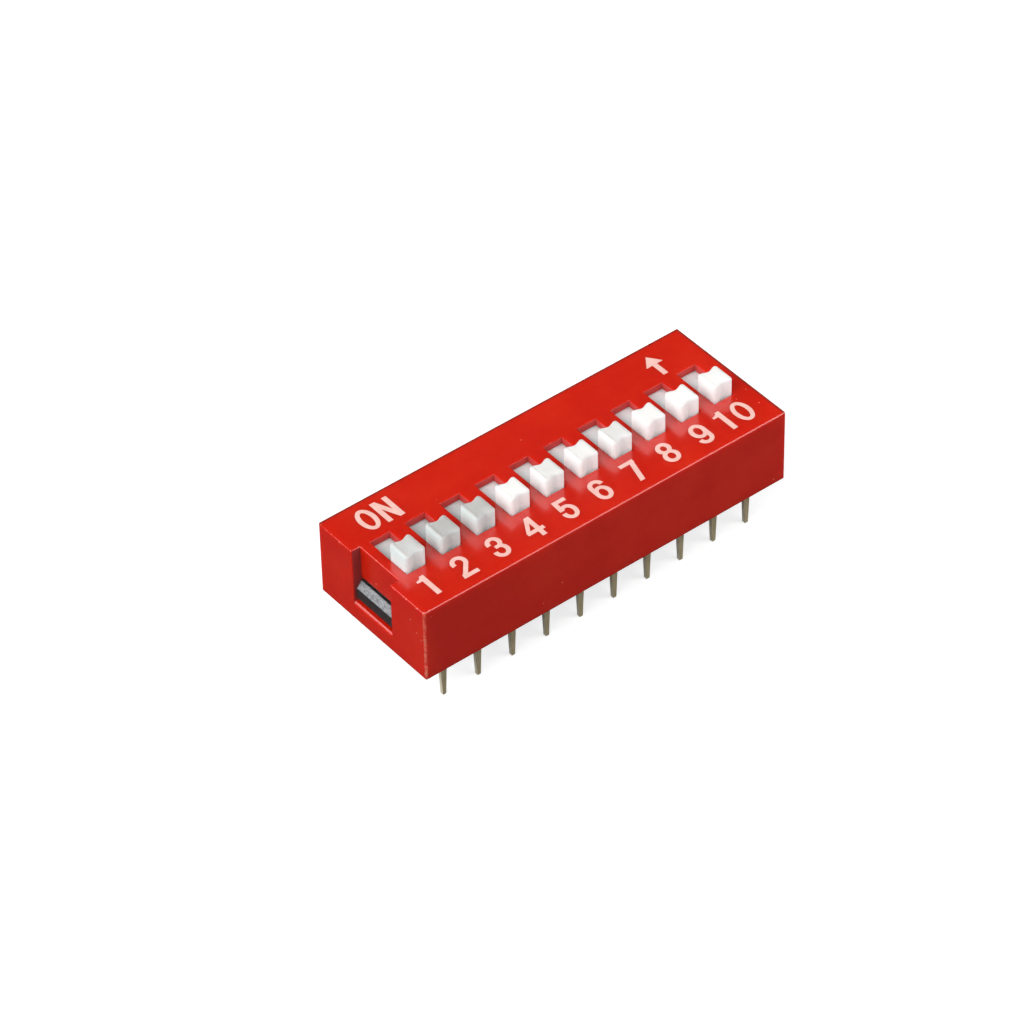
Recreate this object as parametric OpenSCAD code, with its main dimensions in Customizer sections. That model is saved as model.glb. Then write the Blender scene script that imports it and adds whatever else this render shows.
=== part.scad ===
// Slide DIP switch: a row of small on/off sliders in one body, standing on two rows of terminals.
// The origin is the centre of the underside, which seats on the circuit board.
// X runs along the row from the first switch to the last, Y points to the ON side, and Z is up.

/* [Body] */
// Number of switches in the row
positions = 10; // [1:1:14]
// Spacing of the switches along the row
pitch = 2.54; // [2.3:0.02:3.2]
// Length of the body beyond one spacing for each switch
end_margin = 1.5; // [1.5:0.1:3]
// Height of the body above the board
body_h = 5.2; // [4.4:0.1:8]
// Thickness of the cover's top
top_t = 0.5; // [0.3:0.05:0.8]
// Thickness of the cover's two long walls
side_wall = 0.86; // [0.4:0.02:1.5]

/* [Slots and sliders] */
// Length of each slot, along the slider's travel
slot_l = 3.5; // [2.8:0.1:4.4]
// Width of each slot
slot_w = 1.45; // [1.2:0.05:1.65]
// Length of a slider's knob, along the travel
knob_l = 1.6; // [1.2:0.05:2]
// Height of the knobs above the cover
knob_h = 1.25; // [0.2:0.05:2]
// Width of the finger scoop in a knob's front and rear face
scoop_w = 1.14; // [0.6:0.02:1.2]
// Depth of the finger scoop
scoop_d = 0.18; // [0.05:0.01:0.25]
// Thickness of the plate under a knob, which always covers the slot
plate_t = 0.7; // [0.4:0.05:1]
// How far that plate reaches past the slot when the slider is at the other end
plate_lap = 0.2; // [0.1:0.05:0.5]
// Length of the block under the plate, which carries the spring contact
block_l = 1.9; // [1.6:0.1:2.4]

/* [Clearances] */
// Clearance all round the base inside the cover
fit_gap = 0.05; // [0.02:0.01:0.08]
// Clearance on every face that slides
slide_gap = 0.04; // [0.02:0.01:0.08]
// Clearance between a knob and its slot, at the sides and at both ends of the travel
knob_gap = 0.04; // [0.02:0.01:0.08]

/* [Snap ends] */
// Width of the windows in the cover's ends, and of the recess over the first switch's window
recess_w = 3.6; // [2:0.1:5]
// Depth of that recess, which is open at the top
recess_d = 0.65; // [0.4:0.05:0.8]
// Height of the bars below the windows, which the base snaps over
bar_h = 1.28; // [0.9:0.02:1.6]
// Height of the windows
window_h = 1.6; // [1.4:0.05:2]
// How far the base's snap wedge stays inside the end of the cover
wedge_inset = 0.24; // [0.2:0.02:0.5]
// Gap between the bar and the wedge above it
wedge_gap = 0.22; // [0.04:0.02:0.4]
// Height of the wedge's upright outer face
wedge_face_h = 0.75; // [0.4:0.05:0.8]
// Height and run of the wedge's sloping lead-in
wedge_slope = 0.37; // [0.2:0.01:0.5]

/* [Base] */
// Thickness of the base's floor
floor_t = 1.3; // [1:0.05:1.6]
// Thickness of the ribs between two switches
rib_t = 0.5; // [0.4:0.05:0.6]
// Thickness of the base's end walls
base_end_t = 0.3; // [0.2:0.05:0.35]
// Plastic left outside each row of terminals
base_edge = 0.1; // [0.08:0.02:0.4]

/* [Terminals] */
// Distance between the two rows of terminals
row_spacing = 7.62; // [7.4:0.02:10.16]
// Thickness of the terminal strip
pin_t = 0.25; // [0.15:0.01:0.3]
// Width of a pin where it leaves the base
pin_w = 0.54; // [0.36:0.02:0.6]
// Width of a pin near its tip
tip_w = 0.25; // [0.2:0.05:0.5]
// Length of the pins below the body
pin_l = 3.1; // [2:0.05:4]
// Length of the chamfers that point a pin's tip
tip_chamfer = 0.02; // [0.02:0.02:0.1]
// Height of the shoulders where a terminal narrows to its pin
shoulder_z = 0.35; // [0.2:0.05:0.6]
// Width of a terminal's contact pad
pad_w = 1.2; // [0.8:0.1:1.4]
// Gap between the front and rear pads of a switch
pad_gap = 0.7; // [0.5:0.05:0.9]
// Outer radius of the bend from pad to pin
bend_r = 0.36; // [0.32:0.02:0.5]

/* [Spring contacts] */
// Thickness of the contact strip
strip_t = 0.12; // [0.08:0.02:0.16]
// Width of the contact strip
contact_w = 0.9; // [0.6:0.1:1]
// Length of the flat web held under the slider
web_l = 1.5; // [1.3:0.1:1.6]
// Height of the flat web above the floor, underside of the slider's block
contact_rise = 1.2; // [0.9:0.05:1.4]
// Radius of a contact's curled feet
foot_r = 0.22; // [0.18:0.02:0.26]
// Clearance between the feet and the floor
foot_gap = 0.02; // [0.01:0.01:0.05]
// Radius of the two pegs that hold a contact
peg_r = 0.16; // [0.1:0.02:0.2]
// Distance between the two pegs
peg_spacing = 0.8; // [0.6:0.1:0.9]
// Length of the peg heads below the web
peg_head = 0.1; // [0.05:0.05:0.2]

/* [Hidden] */
// The facets of a true circle, how far a cutting shape runs past the surface it opens, and how far
// two stretches of one strip run into each other
$fn = 48;
cut = 0.2;
lap = 0.03;

// The knobs' travel, and the place of a knob's middle at rest, which is OFF
travel = slot_l - knob_l - 2 * knob_gap;
rest_y = -travel / 2;
knob_w = slot_w - 2 * knob_gap;
scoop_r = (pow(scoop_w / 2, 2) + pow(scoop_d, 2)) / (2 * scoop_d);

// The plates cover their slots over the whole travel, and fill the channels between the ribs
plate_l = slot_l + travel + 2 * plate_lap;
plate_w = pitch - rib_t - 2 * slide_gap;
plate_top = body_h - top_t - slide_gap;
plate_z = plate_top - plate_t;
block_z = floor_t + contact_rise;
block_w = plate_w - 2 * (base_end_t + fit_gap);

// The body is as wide as its terminals need, or as the plates need at the ends of their travel
plate_reach = (plate_l + travel) / 2;
base_w = 2 * max(row_spacing / 2 + pin_t / 2 + base_edge, plate_reach);
inner_w = base_w + 2 * fit_gap;
body_w = inner_w + 2 * side_wall;

// The end walls leave the first and last plates the same clearance that the ribs give the others
end_wall = (end_margin + rib_t) / 2;
body_l = positions * pitch + end_margin;
inner_l = body_l - 2 * end_wall;
base_l = inner_l - 2 * fit_gap;
rib_top = body_h - top_t - fit_gap;
end_top = plate_z - slide_gap;
wedge_z = bar_h + wedge_gap;
wedge_w = recess_w - 2 * fit_gap;
wedge_reach = (body_l - base_l) / 2 - wedge_inset;

// The feet stand on one pad at OFF, and bridge the gap between the two pads at ON
foot_y = (travel + pad_gap) / 2;
foot_z = floor_t + foot_gap + foot_r;
gap_y = rest_y + foot_y;
row_y = row_spacing / 2;

// Place of switch n along the row
function switch_x(n) = (n - (positions + 1) / 2) * pitch;

// A box from its corner z0 up, centred on X and Y
module block(size, z0) {
    translate([-size.x / 2, -size.y / 2, z0]) cube(size);
}

// Both ends of the body: the children are drawn for the +X end
module both_ends() {
    for (side = [0, 1]) mirror([side, 0, 0]) children();
}

// A profile drawn in Y and Z, given a width along X
module strip(width) {
    rotate([90, 0, 90]) linear_extrude(width, center = true) children();
}

// Cover: a box open below, with a slot for each knob, a window through each end wall, and a recess
// down the first end
module cover() {
    color("#D72814") difference() {
        block([body_l, body_w, body_h], 0);
        block([inner_l, inner_w, body_h - top_t + cut], -cut);
        for (n = [1:positions])
            translate([switch_x(n), 0]) block([slot_w, slot_l, top_t + 2 * cut], body_h - top_t - cut);
        both_ends() translate([inner_l / 2 - cut, -recess_w / 2, bar_h])
            cube([end_wall + 2 * cut, recess_w, window_h]);
        translate([-body_l / 2 - cut, -recess_w / 2, bar_h])
            cube([recess_d + cut, recess_w, body_h - bar_h + cut]);
    }
}

// Base: a floor that holds the terminals, ribs between the switches, and a snap wedge at each end
module base() {
    color("#28282A") difference() {
        union() {
            block([base_l, base_w, floor_t], 0);
            for (n = [1:1:positions - 1])
                translate([switch_x(n) + pitch / 2, 0]) block([rib_t, base_w, rib_top], 0);
            both_ends() {
                translate([base_l / 2 - base_end_t, -base_w / 2, 0]) cube([base_end_t, base_w, end_top]);
                snap_wedge();
            }
        }
        for (n = [1:positions]) translate([switch_x(n), 0]) {
            terminal_shape(-1);
            terminal_shape(1);
        }
    }
}

// The wedge stands out of the base's end wall, over the bar and into the window
module snap_wedge() {
    inside = base_end_t / 2;
    translate([base_l / 2, 0]) rotate([90, 0, 0]) linear_extrude(wedge_w, center = true) polygon([
        [-inside, wedge_z],
        [wedge_reach, wedge_z],
        [wedge_reach, wedge_z + wedge_face_h],
        [wedge_reach - wedge_slope, wedge_z + wedge_face_h + wedge_slope],
        [-inside, wedge_z + wedge_face_h + wedge_slope],
    ]);
}

// Outline of a knob from above, with its two finger scoops
module knob_outline() {
    difference() {
        square([knob_w, knob_l], center = true);
        for (side = [-1, 1])
            translate([0, side * (knob_l / 2 - scoop_d + scoop_r)]) circle(r = scoop_r);
    }
}

// Slider: the knob, the plate that closes the slot, the block, and two pegs through the contact
module slider(n) {
    color("#F1F1EC") translate([switch_x(n), rest_y]) {
        translate([0, 0, plate_z]) linear_extrude(body_h + knob_h - plate_z) knob_outline();
        block([plate_w, plate_l, plate_t], plate_z);
        block([block_w, block_l, plate_z - block_z], block_z);
        for (side = [-1, 1])
            translate([0, side * peg_spacing / 2, block_z - strip_t - peg_head])
                cylinder(r = peg_r, h = strip_t + peg_head + cut);
    }
}

// One leg of a contact, from the end of the web down and out to its curled foot
module contact_leg() {
    foot_end = foot_y - foot_r;
    strip(contact_w) polygon([
        [web_l / 2 - strip_t, block_z - strip_t],
        [web_l / 2, block_z],
        [foot_end + strip_t, foot_z],
        [foot_end, foot_z],
    ]);
    strip(contact_w) translate([foot_y, foot_z]) difference() {
        circle(r = foot_r);
        circle(r = foot_r - strip_t);
        translate([-foot_r - cut, lap]) square([2 * (foot_r + cut), foot_r + cut]);
    }
}

// Spring contact: a bent strip under the slider that bridges the two terminals at ON
module contact(n) {
    color("#C8A24A") translate([switch_x(n), rest_y]) difference() {
        union() {
            block([contact_w, web_l, strip_t], block_z - strip_t);
            for (side = [0, 1]) mirror([0, side, 0]) contact_leg();
        }
        for (side = [-1, 1])
            translate([0, side * peg_spacing / 2, block_z - strip_t - cut])
                cylinder(r = peg_r, h = strip_t + 2 * cut);
    }
}

// Profile of a rear terminal inside the base: pad, bend and leg, from its inner end at pad_end
module terminal_profile(pad_end) {
    outer_y = row_y + pin_t / 2;
    translate([pad_end, floor_t - pin_t]) square([outer_y - bend_r - pad_end, pin_t]);
    translate([outer_y - pin_t, shoulder_z]) square([pin_t, floor_t - bend_r - shoulder_z]);
    translate([outer_y - bend_r, floor_t - bend_r]) difference() {
        intersection() {
            circle(r = bend_r);
            square(bend_r);
        }
        circle(r = bend_r - pin_t);
    }
}

// Terminal on one side of the row, -1 in front and 1 behind: a pad in the floor, bent down to a pin
module terminal_shape(side) {
    mirror([0, side < 0 ? 1 : 0, 0]) {
        strip(pad_w) terminal_profile(side * gap_y + pad_gap / 2);
        translate([0, row_y, 0]) rotate([90, 0, 0]) linear_extrude(pin_t, center = true) polygon([
            [-pin_w / 2, shoulder_z],
            [-pin_w / 2, 0],
            [-tip_w / 2, tip_chamfer - pin_l],
            [tip_chamfer - tip_w / 2, -pin_l],
            [tip_w / 2 - tip_chamfer, -pin_l],
            [tip_w / 2, tip_chamfer - pin_l],
            [pin_w / 2, 0],
            [pin_w / 2, shoulder_z],
        ]);
    }
}

module terminal(n, side) {
    color("#7D7658") translate([switch_x(n), 0]) terminal_shape(side);
}

cover();
base();
for (n = [1:positions]) {
    slider(n);
    contact(n);
    terminal(n, -1);
    terminal(n, 1);
}
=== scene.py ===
import math

import bpy
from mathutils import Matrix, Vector


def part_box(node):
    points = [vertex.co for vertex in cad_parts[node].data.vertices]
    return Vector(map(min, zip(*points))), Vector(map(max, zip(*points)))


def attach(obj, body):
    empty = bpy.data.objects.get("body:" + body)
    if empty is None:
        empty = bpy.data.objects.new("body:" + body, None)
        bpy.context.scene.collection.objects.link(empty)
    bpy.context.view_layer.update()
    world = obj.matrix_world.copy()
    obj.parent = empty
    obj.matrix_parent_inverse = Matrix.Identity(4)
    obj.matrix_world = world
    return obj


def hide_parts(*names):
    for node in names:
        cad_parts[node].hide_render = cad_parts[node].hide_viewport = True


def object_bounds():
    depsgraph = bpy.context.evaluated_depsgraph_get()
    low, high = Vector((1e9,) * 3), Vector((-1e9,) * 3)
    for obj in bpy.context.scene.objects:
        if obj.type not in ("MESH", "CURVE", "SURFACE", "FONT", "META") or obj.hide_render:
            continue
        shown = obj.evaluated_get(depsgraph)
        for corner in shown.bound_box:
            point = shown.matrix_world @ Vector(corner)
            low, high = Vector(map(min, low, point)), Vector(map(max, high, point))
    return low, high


# A ten-way slide DIP switch: the looks of every piece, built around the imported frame.
# Sizes in the dictionaries are in millimetres, and mm turns them into metres.
# Only the floor's size and the lights' distances and sizes are in metres.
mm = 0.001

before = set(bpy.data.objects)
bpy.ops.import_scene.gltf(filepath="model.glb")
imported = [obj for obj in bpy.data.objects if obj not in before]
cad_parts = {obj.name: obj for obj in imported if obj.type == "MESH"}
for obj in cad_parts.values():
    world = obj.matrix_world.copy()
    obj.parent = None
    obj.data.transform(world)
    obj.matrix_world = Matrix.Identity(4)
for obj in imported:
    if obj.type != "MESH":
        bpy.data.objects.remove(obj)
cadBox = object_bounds()
positions = sum(name.startswith("slider_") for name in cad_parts)
coverLow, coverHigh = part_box("cover")
topZ = coverHigh.z
print("frame loaded,", positions, "switches")


def switchX(n):
    low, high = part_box(f"slider_{n}")
    return (low.x + high.x) / 2


# modelling helpers

# in degrees: faces that are made one, edges that are softened, faces that are shaded smooth
angles = dict(flat=1, corner=30, smooth=40)
mergeWithin = 0.002 * mm


def selectOnly(piece):
    bpy.ops.object.select_all(action="DESELECT")
    piece.select_set(True)
    bpy.context.view_layer.objects.active = piece


def applyPlace(name):
    piece = bpy.context.object
    piece.name = name
    bpy.ops.object.transform_apply(location=True, rotation=True, scale=True)
    return piece


def addBox(name, low, high):
    low, high = Vector(low), Vector(high)
    bpy.ops.object.select_all(action="DESELECT")
    bpy.ops.mesh.primitive_cube_add(size=1, location=(low + high) / 2, scale=high - low)
    return applyPlace(name)


def applyModifier(piece, kind, **settings):
    selectOnly(piece)
    modifier = piece.modifiers.new(kind.title(), kind)
    for setting, value in settings.items():
        setattr(modifier, setting, value)
    bpy.ops.object.modifier_apply(modifier=modifier.name)


def combine(piece, other, operation):
    applyModifier(piece, "BOOLEAN", operation=operation, object=other, solver="EXACT")
    bpy.data.objects.remove(other)


def cleanFaces(piece):
    # doubles merged, and flat neighbours made one face again
    selectOnly(piece)
    bpy.ops.object.mode_set(mode="EDIT")
    bpy.ops.mesh.select_all(action="SELECT")
    bpy.ops.mesh.remove_doubles(threshold=mergeWithin)
    bpy.ops.mesh.dissolve_limited(angle_limit=math.radians(angles["flat"]), delimit={"NORMAL"})
    bpy.ops.object.mode_set(mode="OBJECT")


def smoothFaces(piece):
    selectOnly(piece)
    bpy.ops.object.shade_smooth_by_angle(angle=math.radians(angles["smooth"]))
    applyModifier(piece, "WEIGHTED_NORMAL", keep_sharp=True, weight=80)


def cornerEdges(piece):
    # each edge where two faces meet at a corner, with its middle
    sharpest = math.cos(math.radians(angles["corner"]))
    normals = {}
    for face in piece.data.polygons:
        for key in face.edge_keys:
            normals.setdefault(key, []).append(face.normal)
    points = piece.data.vertices
    for edge in piece.data.edges:
        around = normals.get(edge.key, [])
        if len(around) == 2 and around[0].dot(around[1]) < sharpest:
            yield edge, (points[edge.vertices[0]].co + points[edge.vertices[1]].co) / 2


def copyFrame(node, name):
    # a copy of a frame node's mesh, merged, so that its edges can be softened
    piece = bpy.data.objects.new(name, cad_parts[node].data.copy())
    bpy.context.scene.collection.objects.link(piece)
    piece.data.materials.clear()
    cleanFaces(piece)
    return piece


def copyPiece(source, name, moveX):
    piece = source.copy()
    piece.data = source.data.copy()
    piece.name = name
    bpy.context.scene.collection.objects.link(piece)
    for vertex in piece.data.vertices:
        vertex.co.x += moveX
    return piece


def roundEdges(piece, material, width, segments, **limits):
    # rounds edges, and marks the roundings with the attribute "wear": 1 in their middle, 0 on the flats
    piece.data.materials.append(material)
    piece.data.materials.append(material)
    applyModifier(piece, "BEVEL", width=width, segments=segments, material=1, **limits)
    marks = piece.data.attributes.new("wear", "FLOAT", "POINT")
    flat = set()
    for face in piece.data.polygons:
        if face.material_index == 0:
            flat.update(face.vertices)
        face.material_index = 0
    for vertex in piece.data.vertices:
        marks.data[vertex.index].value = 0 if vertex.index in flat else 1
    piece.data.materials.pop(index=1)


# material helpers

def newMaterial(name):
    material = bpy.data.materials.new(name)
    material.use_nodes = True
    tree = material.node_tree
    return material, tree, tree.nodes["Principled BSDF"]


def add(tree, kind, inputs=None, **settings):
    made = tree.nodes.new(kind)
    for setting, value in settings.items():
        setattr(made, setting, value)
    for key, value in (inputs or {}).items():
        if isinstance(value, bpy.types.NodeSocket):
            tree.links.new(value, made.inputs[key])
        else:
            made.inputs[key].default_value = value
    return made


def calc(tree, operation, first, second=0.0, third=0.0):
    return add(tree, "ShaderNodeMath", {0: first, 1: second, 2: third}, operation=operation).outputs[0]


def between(tree, value, low, high):
    # 0 below low, 1 above high, smooth in between
    made = add(tree, "ShaderNodeMapRange", {0: value, 1: low, 2: high}, interpolation_type="SMOOTHSTEP")
    return made.outputs[0]


def share(tree, value, amount):
    return calc(tree, "MULTIPLY", value, amount)


def flip(tree, value):
    # 1 where the value is 0, and 0 where it is 1
    return calc(tree, "SUBTRACT", 1.0, value)


def objectPlace(tree):
    return add(tree, "ShaderNodeTexCoord").outputs["Object"]


def placeParts(tree):
    # x, y and z of the place on the piece
    return add(tree, "ShaderNodeSeparateXYZ", {0: objectPlace(tree)}).outputs


def facingParts(tree):
    # x, y and z of the direction that the surface faces
    facing = add(tree, "ShaderNodeTexCoord").outputs["Normal"]
    return add(tree, "ShaderNodeSeparateXYZ", {0: facing}).outputs


def noise(tree, size, detail=3.0, stretch=(1, 1, 1), seed=0.0):
    # a noise of the given size in millimetres, on the piece's own coordinates
    move = add(tree, "ShaderNodeMapping", {"Vector": objectPlace(tree), "Location": (seed, seed, seed),
                                           "Scale": stretch}).outputs[0]
    made = add(tree, "ShaderNodeTexNoise", {"Vector": move, "Scale": 1 / (size * mm),
                                            "Detail": detail, "Roughness": 0.55})
    return made.outputs["Fac"]


def patches(tree, size, low, high, **settings):
    # soft patches: 0 where the noise is below low, 1 where it is above high
    return between(tree, noise(tree, size, **settings), low, high)


def specks(tree, spacing, radius, amount):
    # round specks up to a radius, in the given part of the cells of a loose grid
    cells = add(tree, "ShaderNodeTexVoronoi", {"Vector": objectPlace(tree), "Scale": 1 / (spacing * mm)})
    random = add(tree, "ShaderNodeSeparateColor", {0: cells.outputs["Color"]}).outputs
    chosen = calc(tree, "LESS_THAN", random[0], amount)
    largest, leastShare = radius / spacing, 0.4
    size = calc(tree, "MULTIPLY_ADD", random[1], (1 - leastShare) * largest, leastShare * largest)
    return share(tree, chosen, calc(tree, "LESS_THAN", cells.outputs["Distance"], size))


def edgeDistance(tree, low, high):
    # how far a point on a box's surface lies from the nearest of the box's edges
    place = placeParts(tree)
    fromFace = []
    for axis in range(3):
        middle, half = (low[axis] + high[axis]) / 2, (high[axis] - low[axis]) / 2
        offset = calc(tree, "ABSOLUTE", calc(tree, "SUBTRACT", place[axis], middle))
        fromFace.append(calc(tree, "SUBTRACT", half, offset))
    a, b, c = fromFace
    larger = calc(tree, "MINIMUM", calc(tree, "MAXIMUM", a, b), c)
    return calc(tree, "MAXIMUM", calc(tree, "MINIMUM", a, b), larger)


def mixColours(tree, amount, first, second):
    # the first colour where the amount is 0, the second where it is 1
    made = add(tree, "ShaderNodeMix", {0: amount, 6: first, 7: second}, data_type="RGBA")
    return made.outputs[2]


def colour(red, green, blue):
    # a colour as it is seen, from 0 to 255, made linear
    def linear(value):
        value /= 255
        return value / 12.92 if value <= 0.04045 else ((value + 0.055) / 1.055) ** 2.4
    return (linear(red), linear(green), linear(blue), 1)


def tinted(tone, tint):
    # a grey of the given tone, with its red, green and blue changed a little
    return colour(*[tone + change for change in tint])


def bump(tree, shader, height, depth):
    made = add(tree, "ShaderNodeBump", {"Height": height, "Distance": depth * mm, "Strength": 1.0})
    tree.links.new(made.outputs[0], shader.inputs["Normal"])


def scatter(shader, amount, radius, depth):
    # light that passes a little way into the plastic
    shader.inputs["Subsurface Weight"].default_value = amount
    shader.inputs["Subsurface Radius"].default_value = radius
    shader.inputs["Subsurface Scale"].default_value = depth * mm


def wearOf(tree):
    return add(tree, "ShaderNodeAttribute", attribute_name="wear").outputs["Fac"]


# the cover's wear and painted light: chips, flecks, a rubbed corner that carries a painted highlight, dust,
# and a painted shade line along the far edges

wear = dict(reach=0.2, chipsFrom=0.775, chipsFade=0.08, chip=0.45,  # how near an edge, how rare, how pale
            chipPatch=0.2, nearMore=0.17, roundedShare=0.8,  # their noise, and how much the edges bring out
            firstEnd=0.06, firstEndReach=(0.4, 1.2),  # how many more at the first end, and how far along
            besideRecess=(1.9, 2.0), topBand=(0.2, 0.1), lowBand=(0.3, 1.2),  # where the outer edges are
            # the near corner's pale line, partly rubbed wear and partly a painted highlight
            corner=0.6, cornerInset=0.06, cornerLine=(0.09, 0.2), cornerUneven=(0.35, 0.12),
            cornerPatches=(0.3, 0.4, 0.65), cornerShare=(0.6, 0.4),
            dust=0.4, dustSpecks=(0.7, 0.06, 0.09),  # their spacing, largest radius and how many
            line=0.85, shadeLineWidth=0.28, shadeLineBand=(0.1, 0.04),  # the painted shade line's strength and width, and how far below the top it fades
            ragged=(0.12, 1.2, 1.1),  # a fleck's outline: its noise, how far that moves it, and where it ends
            flecks=((-13.45, -3.65, 3.85, 0.1), (-13.45, -4.2, 3.2, 0.09), (-13.4, -4.75, 3.4, 0.12),
                    (-13.45, -4.6, 2.9, 0.08), (-13.3, 4.7, 5.0, 0.16), (-12.8, 0.4, 3.3, 0.08),
                    (12, -2.2, 5.2, 0.06), (13, -1.9, 5.2, 0.07), (12.8, -3.3, 5.2, 0.08),
                    (13.4, -3.8, 5.2, 0.08)))


def fleck(tree, x, y, z, size):
    # one worn fleck with a ragged outline, at a place in millimetres
    middle = (x * mm, y * mm, z * mm)
    away = add(tree, "ShaderNodeVectorMath", {0: objectPlace(tree), 1: middle}, operation="DISTANCE")
    patch, moved, end = wear["ragged"]
    ragged = calc(tree, "MULTIPLY_ADD", noise(tree, patch), moved * size * mm, away.outputs["Value"])
    return calc(tree, "LESS_THAN", ragged, end * size * mm)


def chipsOf(tree):
    # pale chips where the outer edges were knocked: most at the first end, few along the rest
    place = placeParts(tree)
    distance = edgeDistance(tree, coverLow, coverHigh)
    nearEdge = flip(tree, between(tree, distance, 0.0, wear["reach"] * mm))
    nearEdge = calc(tree, "MAXIMUM", nearEdge, share(tree, wearOf(tree), wear["roundedShare"]))
    fromMiddle = calc(tree, "ABSOLUTE", place[1])
    aside = between(tree, fromMiddle, wear["besideRecess"][0] * mm, wear["besideRecess"][1] * mm)
    high = between(tree, place[2], topZ - wear["topBand"][0] * mm, topZ - wear["topBand"][1] * mm)
    low = between(tree, place[2], wear["lowBand"][0] * mm, wear["lowBand"][1] * mm)
    outer = share(tree, calc(tree, "MAXIMUM", aside, high), low)
    nearEdge = share(tree, nearEdge, outer)
    endFrom, endTo = (coverLow.x + reach * mm for reach in wear["firstEndReach"])
    firstEnd = flip(tree, between(tree, place[0], endFrom, endTo))
    flakes = noise(tree, wear["chipPatch"], detail=4.0, seed=0.31)
    flakes = calc(tree, "MULTIPLY_ADD", firstEnd, wear["firstEnd"], flakes)
    flakes = calc(tree, "MULTIPLY_ADD", nearEdge, wear["nearMore"], flakes)
    chips = between(tree, flakes, wear["chipsFrom"], wear["chipsFrom"] + wear["chipsFade"])
    for fleckPlace in wear["flecks"]:
        chips = calc(tree, "MAXIMUM", chips, fleck(tree, *fleckPlace))
    return chips


def rubbedCorner(tree):
    # the upright edge at the near first corner, pale in an uneven line: a painted highlight, broken up in
    # patches like rubbed wear
    place = placeParts(tree)
    inset = wear["cornerInset"] * mm
    x = calc(tree, "SUBTRACT", place[0], coverLow.x + inset)
    y = calc(tree, "SUBTRACT", place[1], coverLow.y + inset)
    away = calc(tree, "SQRT", calc(tree, "MULTIPLY_ADD", x, x, calc(tree, "MULTIPLY", y, y)))
    patch, moved = wear["cornerUneven"]
    uneven = calc(tree, "MULTIPLY_ADD", noise(tree, patch, detail=4.0, seed=0.57), moved * mm, away)
    line = flip(tree, between(tree, uneven, wear["cornerLine"][0] * mm, wear["cornerLine"][1] * mm))
    patchy = patches(tree, *wear["cornerPatches"], detail=4.0, seed=0.9)
    return share(tree, line, calc(tree, "MULTIPLY_ADD", patchy, *wear["cornerShare"]))


def farLine(tree):
    # painted shade: a thin dark line along the top's rear edge and its last end
    place = placeParts(tree)
    fromRear = calc(tree, "SUBTRACT", coverHigh.y, place[1])
    fromEnd = calc(tree, "SUBTRACT", coverHigh.x, place[0])
    fromEdge = calc(tree, "MINIMUM", fromRear, fromEnd)
    line = flip(tree, between(tree, fromEdge, 0.0, wear["shadeLineWidth"] * mm))
    fadeFrom, fadeTo = (topZ - depth * mm for depth in wear["shadeLineBand"])
    return share(tree, line, between(tree, place[2], fadeFrom, fadeTo))


# materials

# Patches are given by the size of their noise, and where in it they begin and are full.
# A pair of shares is what the pattern adds, and what is there without it.

redPlastic = dict(tones=((212, 29, 6), (219, 37, 13)), mottle=(3.5, 0.35, 0.7),
                  grainTone=(198, 25, 6), grain=(0.25, 0.45, 0.8), grainShare=0.25,
                  # the inside tone and its share are painted shade on the inside walls
                  insideShadeTone=(150, 3, 0), insideShadeShare=0.9, insideRough=1.6, slotShare=0.5,
                  insideReach=(0.01, 0.03),  # how near a wall is taken as on it, and how far from the outside
                  farEdgeShadeTone=(95, 38, 30), paleTone=(240, 150, 128), paleRough=0.9, paleHeight=1.5,
                  roughness=0.2, smudges=(4.0, 0.35, 0.7), smudgeRough=0.06, uneven=0.9, bump=0.003,
                  scatter=0.6, scatterRadius=(1.0, 0.1, 0.05), scatterDepth=0.9, ior=1.9)


def insideWalls(tree):
    # the walls of the slots, in part, and the two sides of the recess in full, where shade is painted and the
    # plastic is made matt
    place = placeParts(tree)
    fromMiddle = calc(tree, "ABSOLUTE", place[1])
    fromCentre = calc(tree, "ABSOLUTE", place[0])
    near, inset = redPlastic["insideReach"]
    slots = calc(tree, "LESS_THAN", fromMiddle, (cover["slotLength"] / 2 + near) * mm)
    ends = calc(tree, "GREATER_THAN", fromCentre, coverHigh.x - cover["endWall"] * mm)
    slots = share(tree, slots, flip(tree, ends))
    fromSide = calc(tree, "ABSOLUTE", calc(tree, "SUBTRACT", fromMiddle, cover["recessWidth"] / 2 * mm))
    sides = share(tree, ends, calc(tree, "LESS_THAN", fromSide, near * mm))
    sides = share(tree, sides, calc(tree, "LESS_THAN", fromCentre, coverHigh.x - inset * mm))
    walls = calc(tree, "MAXIMUM", share(tree, slots, redPlastic["slotShare"]), sides)
    return share(tree, calc(tree, "LESS_THAN", place[2], topZ - inset * mm), walls)


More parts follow.
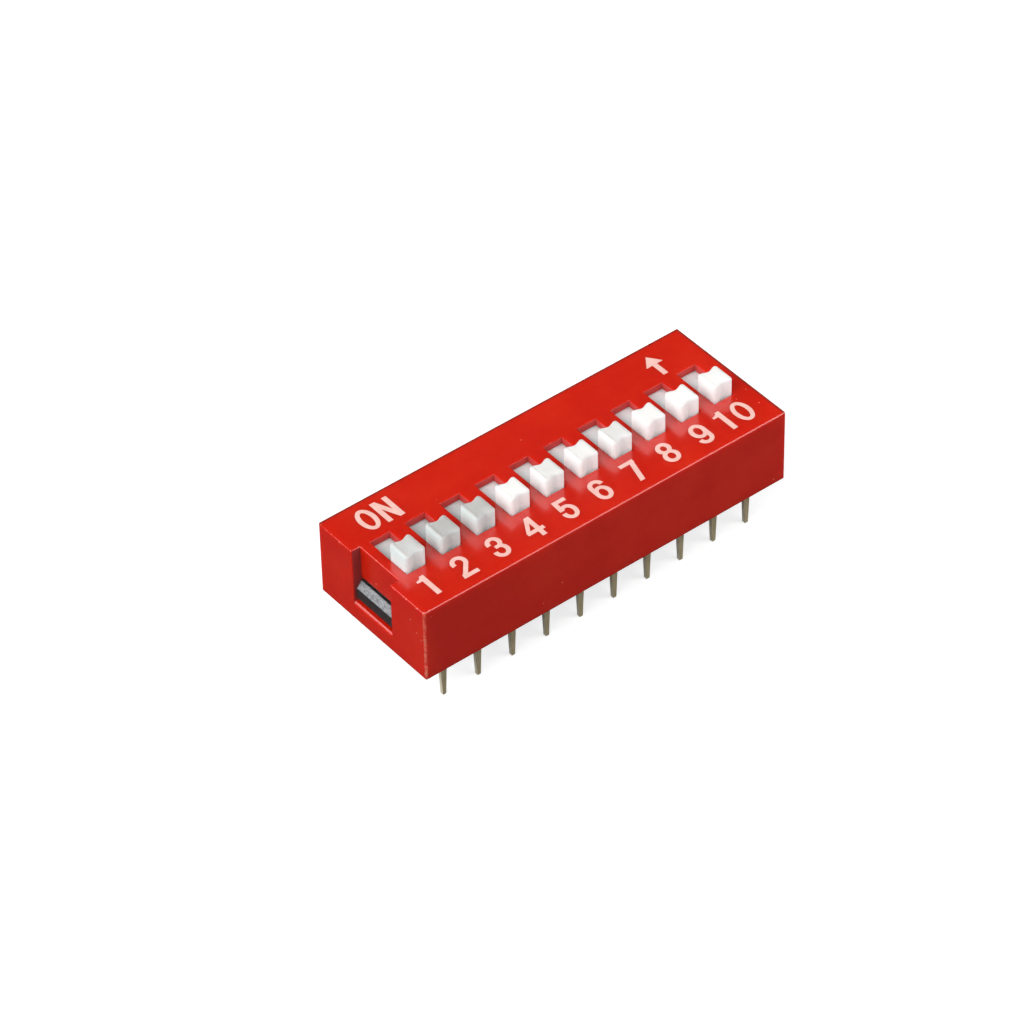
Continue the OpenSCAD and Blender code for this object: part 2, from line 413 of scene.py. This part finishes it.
def coverPlastic():
    # glossy red plastic that light goes a little way into, with a soft mottle and sparse dust, painted shade
    # on its inside walls and along its far edges, and a painted highlight on its near corner
    material, tree, shader = newMaterial("coverPlastic")
    mottle = patches(tree, *redPlastic["mottle"])
    red = mixColours(tree, mottle, *[colour(*tone) for tone in redPlastic["tones"]])
    # painted shade: the slot walls and the recess sides are made a deeper red
    inside = insideWalls(tree)
    shaded = share(tree, inside, redPlastic["insideShadeShare"])
    red = mixColours(tree, shaded, red, colour(*redPlastic["insideShadeTone"]))
    grain = share(tree, patches(tree, *redPlastic["grain"]), redPlastic["grainShare"])
    red = mixColours(tree, grain, red, colour(*redPlastic["grainTone"]))
    # painted shade: a dark line along the far edges of the top
    red = mixColours(tree, share(tree, farLine(tree), wear["line"]), red, colour(*redPlastic["farEdgeShadeTone"]))
    dust = share(tree, specks(tree, *wear["dustSpecks"]), wear["dust"])
    pale = calc(tree, "MAXIMUM", share(tree, chipsOf(tree), wear["chip"]), dust)
    # the near corner's pale line is partly a painted highlight
    pale = calc(tree, "MAXIMUM", pale, share(tree, rubbedCorner(tree), wear["corner"]))
    red = mixColours(tree, pale, red, colour(*redPlastic["paleTone"]))
    tree.links.new(red, shader.inputs["Base Color"])
    smudge = patches(tree, *redPlastic["smudges"], seed=0.2)
    rough = calc(tree, "MULTIPLY_ADD", smudge, redPlastic["smudgeRough"], redPlastic["roughness"])
    rough = calc(tree, "MAXIMUM", rough, share(tree, pale, redPlastic["paleRough"]))
    rough = calc(tree, "MAXIMUM", rough, share(tree, inside, redPlastic["insideRough"]))
    tree.links.new(rough, shader.inputs["Roughness"])
    uneven = noise(tree, redPlastic["uneven"], detail=2.0)
    bump(tree, shader, calc(tree, "MULTIPLY_ADD", pale, redPlastic["paleHeight"], uneven), redPlastic["bump"])
    scatter(shader, redPlastic["scatter"], redPlastic["scatterRadius"], redPlastic["scatterDepth"])
    shader.inputs["IOR"].default_value = redPlastic["ior"]
    return material


# painted light: the sides are lighter and cooler than the top, the cooler tint offsetting red light thrown up
# from the cover, and the top is darker
milkyPlastic = dict(litSideTint=(-15, 0, -1), shadedTopTint=(1, 0, -3), topShadeBand=(0.15, 0.01),
                    warmTint=(-14, -6, -8), mottle=(0.8, 0.4, 0.75), mottleShare=0.3,
                    plateGreyTone=(170, 170, 174), plateGreyPatch=0.35, plateGreyShare=(0.3, -0.08), plateGreyBand=(0.01, 0.12),
                    roughness=0.6, roughPatch=0.6, roughUneven=0.2, uneven=0.15, bump=0.002,
                    scatter=0.8, scatterRadius=(1.0, 1.0, 1.0), scatterDepth=0.55, specular=0.3, ior=1.42)


def sliderPlastic(name, tone, shadedTopTone, plateTop):
    # milky plastic that light passes into, each slider with its own tone, its sides painted lighter and
    # cooler than its top as painted light and shade, and greyer in patches low down on its plate
    material, tree, shader = newMaterial(name)
    height = placeParts(tree)[2]
    knobTop = plateTop + slider["plateGap"] * mm + (cover["top"] + slider["proud"]) * mm
    crownFrom, crownTo = (knobTop - depth * mm for depth in milkyPlastic["topShadeBand"])
    topShade = between(tree, height, crownFrom, crownTo)
    # painted light and shade: lit sides and a shaded top
    side, top = tinted(tone, milkyPlastic["litSideTint"]), tinted(shadedTopTone, milkyPlastic["shadedTopTint"])
    light = mixColours(tree, topShade, side, top)
    mottle = patches(tree, *milkyPlastic["mottle"], seed=tone * 0.01)
    warm = tinted(tone, milkyPlastic["warmTint"])
    white = mixColours(tree, share(tree, mottle, milkyPlastic["mottleShare"]), light, warm)
    # greyer in patches low down, on the plate in the slot
    greyFrom, greyTo = (plateTop + lift * mm for lift in milkyPlastic["plateGreyBand"])
    down = flip(tree, between(tree, height, greyFrom, greyTo))
    greyed = noise(tree, milkyPlastic["plateGreyPatch"], detail=4.0)
    greyed = calc(tree, "MULTIPLY_ADD", greyed, *milkyPlastic["plateGreyShare"])
    white = mixColours(tree, share(tree, down, greyed), white, colour(*milkyPlastic["plateGreyTone"]))
    tree.links.new(white, shader.inputs["Base Color"])
    rough = noise(tree, milkyPlastic["roughPatch"])
    rough = calc(tree, "MULTIPLY_ADD", rough, milkyPlastic["roughUneven"], milkyPlastic["roughness"])
    tree.links.new(rough, shader.inputs["Roughness"])
    bump(tree, shader, noise(tree, milkyPlastic["uneven"]), milkyPlastic["bump"])
    scatter(shader, milkyPlastic["scatter"], milkyPlastic["scatterRadius"], milkyPlastic["scatterDepth"])
    shader.inputs["Specular IOR Level"].default_value = milkyPlastic["specular"]
    shader.inputs["IOR"].default_value = milkyPlastic["ior"]
    return material


# the slopes' pale grey tone is a painted reflection
blackPlastic = dict(tone=(22, 22, 24), slopeSheenTone=(164, 169, 172), slopes=(0.4, 0.6, 0.85, 0.95),
                    scuffs=(0.1, 0.38, 0.62), slopeSheenStreaks=(0.45, 0.4), faint=0.1,
                    speckTone=(205, 208, 210), specks=(0.16, 0.03, 0.3), slopeSpecks=(0.5, 0.1),
                    roughness=0.36, scuffRough=0.15, uneven=0.07, bump=0.006, ior=1.5)


def basePlastic():
    # dull black plastic, faintly scuffed, with a streaky pale grey painted on the wedges' slopes as a painted
    # reflection of the light
    material, tree, shader = newMaterial("basePlastic")
    upwards = facingParts(tree)[2]
    slopeFrom, slopeFull, slopeFade, slopeEnd = blackPlastic["slopes"]
    steep = flip(tree, between(tree, upwards, slopeFade, slopeEnd))
    slope = share(tree, between(tree, upwards, slopeFrom, slopeFull), steep)
    scuffs = patches(tree, *blackPlastic["scuffs"], detail=5.0, stretch=(1, 0.5, 1))
    # painted reflection: the slopes made a streaky pale grey
    sheenAndScuffs = share(tree, slope, calc(tree, "MULTIPLY_ADD", scuffs, *blackPlastic["slopeSheenStreaks"]))
    sheenAndScuffs = calc(tree, "MAXIMUM", sheenAndScuffs, share(tree, scuffs, blackPlastic["faint"]))
    black = mixColours(tree, sheenAndScuffs, colour(*blackPlastic["tone"]), colour(*blackPlastic["slopeSheenTone"]))
    onSlope = calc(tree, "MULTIPLY_ADD", slope, *blackPlastic["slopeSpecks"])
    grey = share(tree, specks(tree, *blackPlastic["specks"]), onSlope)
    black = mixColours(tree, grey, black, colour(*blackPlastic["speckTone"]))
    tree.links.new(black, shader.inputs["Base Color"])
    rough = calc(tree, "MULTIPLY_ADD", scuffs, blackPlastic["scuffRough"], blackPlastic["roughness"])
    tree.links.new(rough, shader.inputs["Roughness"])
    bump(tree, shader, noise(tree, blackPlastic["uneven"], detail=4.0), blackPlastic["bump"])
    shader.inputs["IOR"].default_value = blackPlastic["ior"]
    return material


oldPlating = dict(tones=((200, 185, 150), (184, 169, 136)), tarnish=(0.7, 0.35, 0.7),
                  streakTone=(140, 127, 96), streaks=(0.05, 0.45, 0.7), streakShare=0.3,
                  edgeTone=(206, 198, 172), edgeShare=0.4, litSidesTone=(238, 228, 204), litSides=(0.8, 0.95),
                  roughness=0.42, tarnishRough=0.15, bump=0.003, metallic=0.15)


def terminalMetal():
    # plated strip gone olive brown, streaked along its length, paler on its rounded edges, and painted
    # lighter on its narrow sides as painted light
    material, tree, shader = newMaterial("terminalMetal")
    tarnish = patches(tree, *oldPlating["tarnish"], detail=4.0)
    metal = mixColours(tree, tarnish, *[colour(*tone) for tone in oldPlating["tones"]])
    streaks = patches(tree, *oldPlating["streaks"], stretch=(1, 1, 0.06))
    streaky = share(tree, streaks, oldPlating["streakShare"])
    metal = mixColours(tree, streaky, metal, colour(*oldPlating["streakTone"]))
    edges = share(tree, wearOf(tree), oldPlating["edgeShare"])
    metal = mixColours(tree, edges, metal, colour(*oldPlating["edgeTone"]))
    # painted light: the narrow sides, which face along the row, made paler
    across = calc(tree, "ABSOLUTE", facingParts(tree)[0])
    litSides = between(tree, across, *oldPlating["litSides"])
    metal = mixColours(tree, litSides, metal, colour(*oldPlating["litSidesTone"]))
    tree.links.new(metal, shader.inputs["Base Color"])
    rough = calc(tree, "MULTIPLY_ADD", tarnish, oldPlating["tarnishRough"], oldPlating["roughness"])
    tree.links.new(rough, shader.inputs["Roughness"])
    bump(tree, shader, streaks, oldPlating["bump"])
    shader.inputs["Metallic"].default_value = oldPlating["metallic"]
    return material


goldPlating = dict(tones=((214, 178, 92), (190, 150, 70)), brushed=(0.06, 0.4, 0.7),
                   roughness=0.22, brushedRough=0.15, bump=0.002, metallic=1.0)


def contactMetal():
    # gold-plated spring strip, brushed across its width
    material, tree, shader = newMaterial("contactMetal")
    brushed = patches(tree, *goldPlating["brushed"], stretch=(1, 0.1, 1))
    gold = mixColours(tree, brushed, *[colour(*tone) for tone in goldPlating["tones"]])
    tree.links.new(gold, shader.inputs["Base Color"])
    rough = calc(tree, "MULTIPLY_ADD", brushed, goldPlating["brushedRough"], goldPlating["roughness"])
    tree.links.new(rough, shader.inputs["Roughness"])
    bump(tree, shader, brushed, goldPlating["bump"])
    shader.inputs["Metallic"].default_value = goldPlating["metallic"]
    return material


whiteInk = dict(tones=((244, 192, 182), (249, 202, 192)), thick=(0.5, 0.35, 0.7),
                pinholeTone=(230, 110, 90), pinholes=(0.07, 0.68, 0.74), pinholeShare=0.5,
                roughness=0.4, thickRough=0.15, uneven=0.06, bump=0.002)


def printInk():
    # white ink, thin enough for the red to warm it, with a few worn pinholes
    material, tree, shader = newMaterial("printInk")
    thick = patches(tree, *whiteInk["thick"], detail=4.0)
    ink = mixColours(tree, thick, *[colour(*tone) for tone in whiteInk["tones"]])
    pinholes = share(tree, patches(tree, *whiteInk["pinholes"], seed=0.7), whiteInk["pinholeShare"])
    ink = mixColours(tree, pinholes, ink, colour(*whiteInk["pinholeTone"]))
    tree.links.new(ink, shader.inputs["Base Color"])
    rough = calc(tree, "MULTIPLY_ADD", thick, whiteInk["thickRough"], whiteInk["roughness"])
    tree.links.new(rough, shader.inputs["Roughness"])
    bump(tree, shader, noise(tree, whiteInk["uneven"]), whiteInk["bump"])
    return material


# the cover: one moulded shell

cover = dict(wall=0.86, endWall=1.0, top=0.5, slotLength=3.5, slotWidth=1.45,
             recessWidth=3.6, recessDepth=0.65, barHeight=1.28, windowHeight=1.6,
             rounding=dict(top=0.12, corner=0.18, crisp=0.06, recess=0.07, bar=0.26, slot=0.01, lower=0.05),
             roundingSteps=4, cutPast=1.0)


def coverRounding(middle):
    # how far the edge with this middle is rounded: the bar most, the slots least, the far edges crisp
    near = 0.01 * mm
    rounding = cover["rounding"]
    onEnd = abs(abs(middle.x) - coverHigh.x) < near
    onSide = abs(abs(middle.y) - coverHigh.y) < near
    onTop = abs(middle.z - topZ) < near
    atWindow = abs(middle.y) < cover["recessWidth"] / 2 * mm + near
    atRecess = atWindow and middle.x < coverLow.x + cover["recessDepth"] * mm + near
    if atWindow and onEnd and abs(middle.z - cover["barHeight"] * mm) < near:
        return rounding["bar"]
    if atRecess and (onEnd or onTop):
        return rounding["recess"]
    if onTop and onSide and middle.y > 0:
        return rounding["crisp"]
    if onEnd and (onTop or onSide) and middle.x > 0:
        return rounding["crisp"]
    if onEnd and onSide:
        return rounding["corner"]
    if onTop and (onEnd or onSide):
        return rounding["top"]
    if middle.z < near and (onEnd or onSide):
        return rounding["lower"]
    if onTop:
        return rounding["slot"]
    return 0


def weighCoverEdges(piece):
    # marks each edge with its share of the widest rounding
    weights = piece.data.attributes.new("bevel_weight_edge", "FLOAT", "EDGE")
    widest = max(cover["rounding"].values())
    for edge, middle in cornerEdges(piece):
        weights.data[edge.index].value = coverRounding(middle) / widest


def makeCover(material):
    piece = addBox("cover_shell", coverLow, coverHigh)
    past = cover["cutPast"] * mm  # how far a cutter reaches past the surface
    insideX, insideY = coverHigh.x - cover["endWall"] * mm, coverHigh.y - cover["wall"] * mm
    combine(piece, addBox("hollow", (-insideX, -insideY, -past),
                          (insideX, insideY, topZ - cover["top"] * mm)), "DIFFERENCE")
    halfLength, halfWidth = cover["slotLength"] / 2 * mm, cover["slotWidth"] / 2 * mm
    for n in range(1, positions + 1):
        x = switchX(n)
        combine(piece, addBox("slot", (x - halfWidth, -halfLength, topZ - past),
                              (x + halfWidth, halfLength, topZ + past)), "DIFFERENCE")
    halfRecess, bar = cover["recessWidth"] / 2 * mm, cover["barHeight"] * mm
    combine(piece, addBox("windows", (coverLow.x - past, -halfRecess, bar),
                          (coverHigh.x + past, halfRecess, bar + cover["windowHeight"] * mm)), "DIFFERENCE")
    combine(piece, addBox("recess", (coverLow.x - past, -halfRecess, bar),
                          (coverLow.x + cover["recessDepth"] * mm, halfRecess, topZ + past)), "DIFFERENCE")
    cleanFaces(piece)
    weighCoverEdges(piece)
    widest = max(cover["rounding"].values()) * mm
    roundEdges(piece, material, widest, cover["roundingSteps"], limit_method="WEIGHT")
    smoothFaces(piece)
    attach(piece, "housing")
    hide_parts("cover")


makeCover(coverPlastic())
print("cover made")


# the sliders: a scooped knob on the plate that closes the slot

slider = dict(knobWidth=1.43, knobLength=1.6, proud=1.25, sink=0.3,
              corner=0.19, cornerSteps=6, rim=0.18, rimSteps=5,
              scoopWidth=1.2, scoopDepth=0.18, scoopCuts=11,
              plateThickness=0.7, plateEdge=0.04, plateEdgeSteps=2, plateGap=0.04,
              # each slider's side tone is painted lighter and its top tone darker, as painted light and shade
              litSideTones=(236, 220, 227, 255, 251, 254, 250, 255, 255, 255),
              shadedTopTones=(204, 187, 191, 241, 228, 236, 225, 240, 245, 241))


def knobOutline(knob, x, y):
    # a flat plate with round corners, then its front and rear edges drawn in to two finger scoops
    halfLength = slider["knobLength"] / 2 * mm
    bpy.ops.object.mode_set(mode="EDIT")
    bpy.ops.mesh.select_all(action="SELECT")
    bpy.ops.mesh.bevel(offset=slider["corner"] * mm, segments=slider["cornerSteps"], affect="VERTICES")
    bpy.ops.mesh.select_all(action="DESELECT")
    bpy.ops.object.mode_set(mode="OBJECT")
    points, near = knob.data.vertices, 0.001 * mm
    for edge in knob.data.edges:
        edge.select = all(abs(abs(points[i].co.y - y) - halfLength) < near for i in edge.vertices)
    bpy.ops.object.mode_set(mode="EDIT")
    bpy.ops.mesh.select_mode(type="EDGE")
    bpy.ops.mesh.subdivide(number_cuts=slider["scoopCuts"])
    bpy.ops.object.mode_set(mode="OBJECT")
    halfScoop = slider["scoopWidth"] / 2 * mm
    for vertex in knob.data.vertices:
        across, along = vertex.co.x - x, vertex.co.y - y
        if abs(along) > halfLength - slider["corner"] * mm and abs(across) < halfScoop:
            depth = slider["scoopDepth"] * mm * math.cos(math.pi / 2 * across / halfScoop) ** 2
            vertex.co.y -= math.copysign(depth, along)


def makeSlider(name, n):
    low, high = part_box(f"slider_{n}")
    x, y = (low.x + high.x) / 2, (low.y + high.y) / 2
    plateTop = topZ - (cover["top"] + slider["plateGap"]) * mm
    knobLow = plateTop - slider["sink"] * mm
    bpy.ops.object.select_all(action="DESELECT")
    bpy.ops.mesh.primitive_plane_add(size=1, location=(x, y, knobLow))
    bpy.context.object.scale = (slider["knobWidth"] * mm, slider["knobLength"] * mm, 1)
    knob = applyPlace(name)
    knobOutline(knob, x, y)
    bpy.ops.object.mode_set(mode="EDIT")
    bpy.ops.mesh.select_mode(type="FACE")
    bpy.ops.mesh.select_all(action="SELECT")
    bpy.ops.mesh.extrude_region_move(TRANSFORM_OT_translate={"value": (0, 0, high.z - knobLow)})
    bpy.ops.mesh.region_to_loop()
    bpy.ops.mesh.bevel(offset=slider["rim"] * mm, segments=slider["rimSteps"], affect="EDGES")
    bpy.ops.mesh.select_all(action="SELECT")
    bpy.ops.mesh.normals_make_consistent(inside=False)
    bpy.ops.object.mode_set(mode="OBJECT")
    plateLow = plateTop - slider["plateThickness"] * mm
    plate = addBox("plate", (low.x, low.y, plateLow), (high.x, high.y, plateTop))
    applyModifier(plate, "BEVEL", width=slider["plateEdge"] * mm, segments=slider["plateEdgeSteps"],
                  limit_method="ANGLE")
    combine(knob, plate, "UNION")
    smoothFaces(knob)
    return knob, plateTop


def makeSliders():
    first, plateTop = makeSlider("knob_1", 1)
    for n in range(1, positions + 1):
        piece = first if n == 1 else copyPiece(first, f"knob_{n}", switchX(n) - switchX(1))
        piece.data.materials.clear()
        which = (n - 1) % len(slider["litSideTones"])
        tones = slider["litSideTones"][which], slider["shadedTopTones"][which]
        piece.data.materials.append(sliderPlastic(f"sliderPlastic{n}", *tones, plateTop))
        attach(piece, f"switch_{n}")
        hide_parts(f"slider_{n}")


makeSliders()
print("sliders made")


# the base, the terminals and the spring contacts

softEdges = dict(base=0.05, strip=0.015, steps=2)


def softened(node, name, edge, material):
    piece = copyFrame(node, name)
    roundEdges(piece, material, edge * mm, softEdges["steps"], limit_method="ANGLE",
               angle_limit=math.radians(angles["corner"]))
    smoothFaces(piece)
    return piece


def makeBase():
    piece = softened("base", "base_moulding", softEdges["base"], basePlastic())
    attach(piece, "housing")
    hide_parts("base")


def makeTerminals():
    metal = terminalMetal()
    for row in ("front", "rear"):
        first = softened(f"terminal_{row}_1", f"pin_{row}_1", softEdges["strip"], metal)
        for n in range(1, positions + 1):
            piece = first if n == 1 else copyPiece(first, f"pin_{row}_{n}", switchX(n) - switchX(1))
            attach(piece, "housing")
            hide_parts(f"terminal_{row}_{n}")


def finishContacts():
    metal = contactMetal()
    for n in range(1, positions + 1):
        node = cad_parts[f"contact_{n}"]
        node.data.materials.clear()
        node.data.materials.append(metal)


makeBase()
makeTerminals()
finishContacts()
print("base, terminals and contacts made")


# the printing on the cover: plain numbers, ON, and an arrow towards the ON side

printing = dict(height=1.9, stem=0.31, bar=0.27, numbersScale=0.95, raised=0.008, sunk=0.004,
                arcStep=12,  # in degrees
                numbersY=-3.25, numbersX=-0.4, numbersStep=-0.011, tenX=(-0.8, 0.63),
                onX=(-11.07, -9.66), onY=3.33, arrowX=10.3, arrowY=3.15)


def arc(x, y, radiusX, radiusY, start, end):
    # points along an ellipse, from one angle to another in degrees
    steps = max(2, round(abs(end - start) / printing["arcStep"]))
    bearings = [math.radians(start + (end - start) * i / steps) for i in range(steps + 1)]
    return [(x + radiusX * math.cos(bearing), y + radiusY * math.sin(bearing)) for bearing in bearings]


def box(left, bottom, right, top):
    return [(left, bottom), (right, bottom), (right, top), (left, top)]


def stroke(points):
    # the outline of a pen stroke along its middle line, upright parts as wide as a stem
    halfStem, halfBar = printing["stem"] / 2, printing["bar"] / 2
    leftSide, rightSide = [], []
    for i, (x, y) in enumerate(points):
        turns = []
        for a, b in ((i - 1, i), (i, i + 1)):
            if a >= 0 and b < len(points):
                turns.append((Vector(points[b]) - Vector(points[a])).normalized())
        direction = sum(turns, Vector((0, 0))).normalized()
        reach = 1 / direction.dot(turns[0])
        offset = Vector((-direction.y * halfStem, direction.x * halfBar)) * reach
        leftSide.append((x + offset.x, y + offset.y))
        rightSide.append((x - offset.x, y - offset.y))
    return leftSide + rightSide[::-1]


def ring(x, y, radiusX, radiusY):
    # the outer and inner outline of a round stroke
    halfStem, halfBar = printing["stem"] / 2, printing["bar"] / 2
    last = 360 - printing["arcStep"]
    outer = arc(x, y, radiusX + halfStem, radiusY + halfBar, 0, last)
    return [outer, arc(x, y, radiusX - halfStem, radiusY - halfBar, 0, last)]


def turned(shapes):
    return [[[(-x, -y) for x, y in outline] for outline in shape] for shape in shapes]


def glyph(sign):
    # each sign as shapes that are joined; a shape is an outline, then any hole in it
    top = printing["height"] / 2
    line = top - printing["bar"] / 2
    six = [[stroke(arc(0, 0.4, 0.41, line - 0.4, 4, 180) + [(-0.41, -0.3)])], ring(0, -0.3, 0.41, line - 0.3)]
    return {
        "0": [ring(0, 0, 0.46, line)],
        "1": [[[(-0.35, top - 0.43)] + arc(-0.35, top, 0.4, 0.26, -90, 0)
               + [(0.35, top), (0.35, -top), (0, -top), (0, top - 0.43)]]],
        "2": [[stroke(arc(0, 0.39, 0.41, line - 0.39, 195, -32) + [(-0.36, -0.7)])],
              [[(-0.58, -top), (0.58, -top), (0.58, 0.3 - top), (-0.25, 0.3 - top), (-0.52, 0.36 - top)]]],
        "3": [[stroke(arc(0, 0.42, 0.38, line - 0.42, 190, -72) + [(-0.16, 0.04)])],
              [stroke([(-0.16, 0.04)] + arc(0, -0.37, 0.41, line - 0.37, 72, -190))]],
        "4": [[[(0.06, top), (0.41, top), (0.41, -0.18), (0.64, -0.18), (0.64, -0.48), (0.41, -0.48),
                (0.41, -top), (0.08, -top), (0.08, -0.48), (-0.63, -0.48), (-0.63, -0.24)],
               [(0.08, 0.42), (0.08, -0.18), (-0.3, -0.18)]]],
        "5": [[box(-0.44, 0.66, 0.49, top)], [[(-0.46, top), (-0.15, top), (-0.2, -0.05), (-0.52, -0.05)]],
              [stroke(arc(0, -0.29, 0.41, line - 0.29, 143, -183))]],
        "6": six,
        "7": [[box(-0.54, 0.66, 0.54, top)], [[(0.54, 0.8), (0.07, -top), (-0.28, -top), (0.19, 0.75)]]],
        "8": [ring(0, 0.43, 0.36, line - 0.43), ring(0, -0.38, 0.41, line - 0.38)],
        "9": turned(six),
        "O": [ring(0, 0, 0.44, line)],
        "N": [[box(-0.6, -top, -0.27, top)], [box(0.27, -top, 0.6, top)],
              [[(-0.6, top), (-0.24, top), (0.6, -top), (0.24, -top)]]],
        "arrow": [[[(-0.17, -top), (0.17, -top), (0.17, 0.1), (0.62, 0.1), (0, top),
                    (-0.62, 0.1), (-0.17, 0.1)]]],
    }[sign]


def inkShape(outlines, x, y):
    # a flat curve through the outlines, made a solid and set down on the cover
    curve = bpy.data.curves.new("ink", "CURVE")
    curve.dimensions = "2D"
    curve.fill_mode = "BOTH"
    curve.extrude = (printing["raised"] + printing["sunk"]) / 2 * mm
    for outline in outlines:
        spline = curve.splines.new("POLY")
        spline.points.add(len(outline) - 1)
        for point, (across, along) in zip(spline.points, outline):
            point.co = (across * mm, along * mm, 0, 1)
        spline.use_cyclic_u = True
    shape = bpy.data.objects.new("ink", curve)
    bpy.context.scene.collection.objects.link(shape)
    selectOnly(shape)
    bpy.ops.object.convert(target="MESH")
    shape = bpy.context.object
    lift = topZ + (printing["raised"] - printing["sunk"]) / 2 * mm
    for vertex in shape.data.vertices:
        vertex.co += Vector((x * mm, y * mm, lift))
    cleanFaces(shape)
    return shape


def printSigns(name, signs, ink):
    # one printed mark, made of signs with their places
    piece, scale = None, printing["numbersScale"]
    for sign, x, y in signs:
        for outlines in glyph(sign):
            if sign.isdigit():
                outlines = [[(a * scale, b * scale) for a, b in outline] for outline in outlines]
            shape = inkShape(outlines, x, y)
            if piece is None:
                piece = shape
            else:
                combine(piece, shape, "UNION")
    piece.name = name
    piece.data.materials.clear()
    piece.data.materials.append(ink)
    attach(piece, "housing")


def makePrinting():
    ink = printInk()
    onY = printing["onY"]
    printSigns("print_on", [(sign, x, onY) for sign, x in zip("ON", printing["onX"])], ink)
    printSigns("print_arrow", [("arrow", printing["arrowX"], printing["arrowY"])], ink)
    y = printing["numbersY"]
    for n in range(1, positions + 1):
        x = switchX(n) / mm + printing["numbersX"] + printing["numbersStep"] * (n - 1)
        digits = str(n)
        places = printing["tenX"] if len(digits) == 2 else (0,)
        printSigns(f"print_{n}", [(digit, x + shift, y) for digit, shift in zip(digits, places)], ink)


makePrinting()
print("printing made")


# the floor, the camera and the lights

stage = dict(size=6.0, seenTone=0.5, seenLift=0.7, tone=0.05, roughness=0.9, specular=0.1,
             worldTone=0.05, mirrorShare=0.015)
# the camera's turn is in degrees
camera = dict(place=(-137.135, -173.024, 202.972), turn=(47.643, 1.019, -38.678), lens=179.79,
              sensor=36, nearest=10)
lights = dict(
    left=dict(towards=(-0.8, -0.12, 0.6), distance=0.6, size=0.5, power=3.05),
    leftBack=dict(towards=(-0.68, 0.58, 0.46), distance=0.6, size=0.5, power=1.2),
    leftLow=dict(towards=(-0.95, -0.28, 0.12), distance=0.6, size=0.3, power=0.25),
    above=dict(towards=(-0.1, -0.1, 1.0), distance=0.6, size=0.5, power=0.4),
    front=dict(towards=(0.74, -0.6, 0.28), distance=0.075, size=0.035, power=0.011),
    frontFar=dict(towards=(0.42, -0.64, 0.7), distance=0.6, size=0.5, power=1.55),
    back=dict(towards=(-0.1, 0.95, 0.35), distance=0.6, size=0.4, power=0.5),
    right=dict(towards=(0.95, 0.05, 0.3), distance=0.6, size=0.4, power=0.7),
)


def backgroundSeen(tree):
    # how much of the white background a ray meets: all of it from the camera, a share in the gloss
    path = add(tree, "ShaderNodeLightPath").outputs
    mirrored = calc(tree, "MAXIMUM", path["Is Glossy Ray"], path["Is Transmission Ray"])
    return calc(tree, "MAXIMUM", path["Is Camera Ray"], share(tree, mirrored, stage["mirrorShare"]))


def makeFloor():
    # plain paper that shows white and keeps a shadow, but throws little light up at the object
    bpy.ops.object.select_all(action="DESELECT")
    bpy.ops.mesh.primitive_plane_add(size=stage["size"], location=(0, 0, cadBox[0].z))
    floor = applyPlace("floor")
    material, tree, shader = newMaterial("floorPaper")
    tone, seenTone = stage["tone"], stage["seenTone"]
    seen = backgroundSeen(tree)
    paper = mixColours(tree, seen, (tone, tone, tone, 1), (seenTone, seenTone, seenTone, 1))
    tree.links.new(paper, shader.inputs["Base Color"])
    shader.inputs["Roughness"].default_value = stage["roughness"]
    shader.inputs["Specular IOR Level"].default_value = stage["specular"]
    shader.inputs["Emission Color"].default_value = (1, 1, 1, 1)
    tree.links.new(share(tree, seen, stage["seenLift"]), shader.inputs["Emission Strength"])
    floor.data.materials.append(material)


def makeCamera():
    bpy.ops.object.camera_add(location=[value * mm for value in camera["place"]],
                              rotation=[math.radians(value) for value in camera["turn"]])
    made = bpy.context.object
    made.data.lens = camera["lens"]
    made.data.sensor_width = camera["sensor"]
    made.data.clip_start = camera["nearest"] * mm
    bpy.context.scene.camera = made


def makeLights():
    for name, light in lights.items():
        towards = Vector(light["towards"]).normalized()
        bpy.ops.object.light_add(type="AREA", location=towards * light["distance"])
        made = bpy.context.object
        made.name = f"softbox_{name}"
        made.rotation_euler = towards.to_track_quat("Z", "Y").to_euler()
        made.data.shape = "DISK"
        made.data.size = light["size"]
        made.data.energy = light["power"]
        made.visible_camera = False


def makeWorld():
    world = bpy.data.worlds.new("studio")
    bpy.context.scene.world = world
    world.use_nodes = True
    tree = world.node_tree
    background = tree.nodes["Background"]
    background.inputs["Color"].default_value = (1, 1, 1, 1)
    strength = calc(tree, "MAXIMUM", backgroundSeen(tree), stage["worldTone"])
    tree.links.new(strength, background.inputs["Strength"])


makeFloor()
makeCamera()
makeLights()
makeWorld()
bpy.context.scene.view_settings.view_transform = "Standard"
print("stage set")
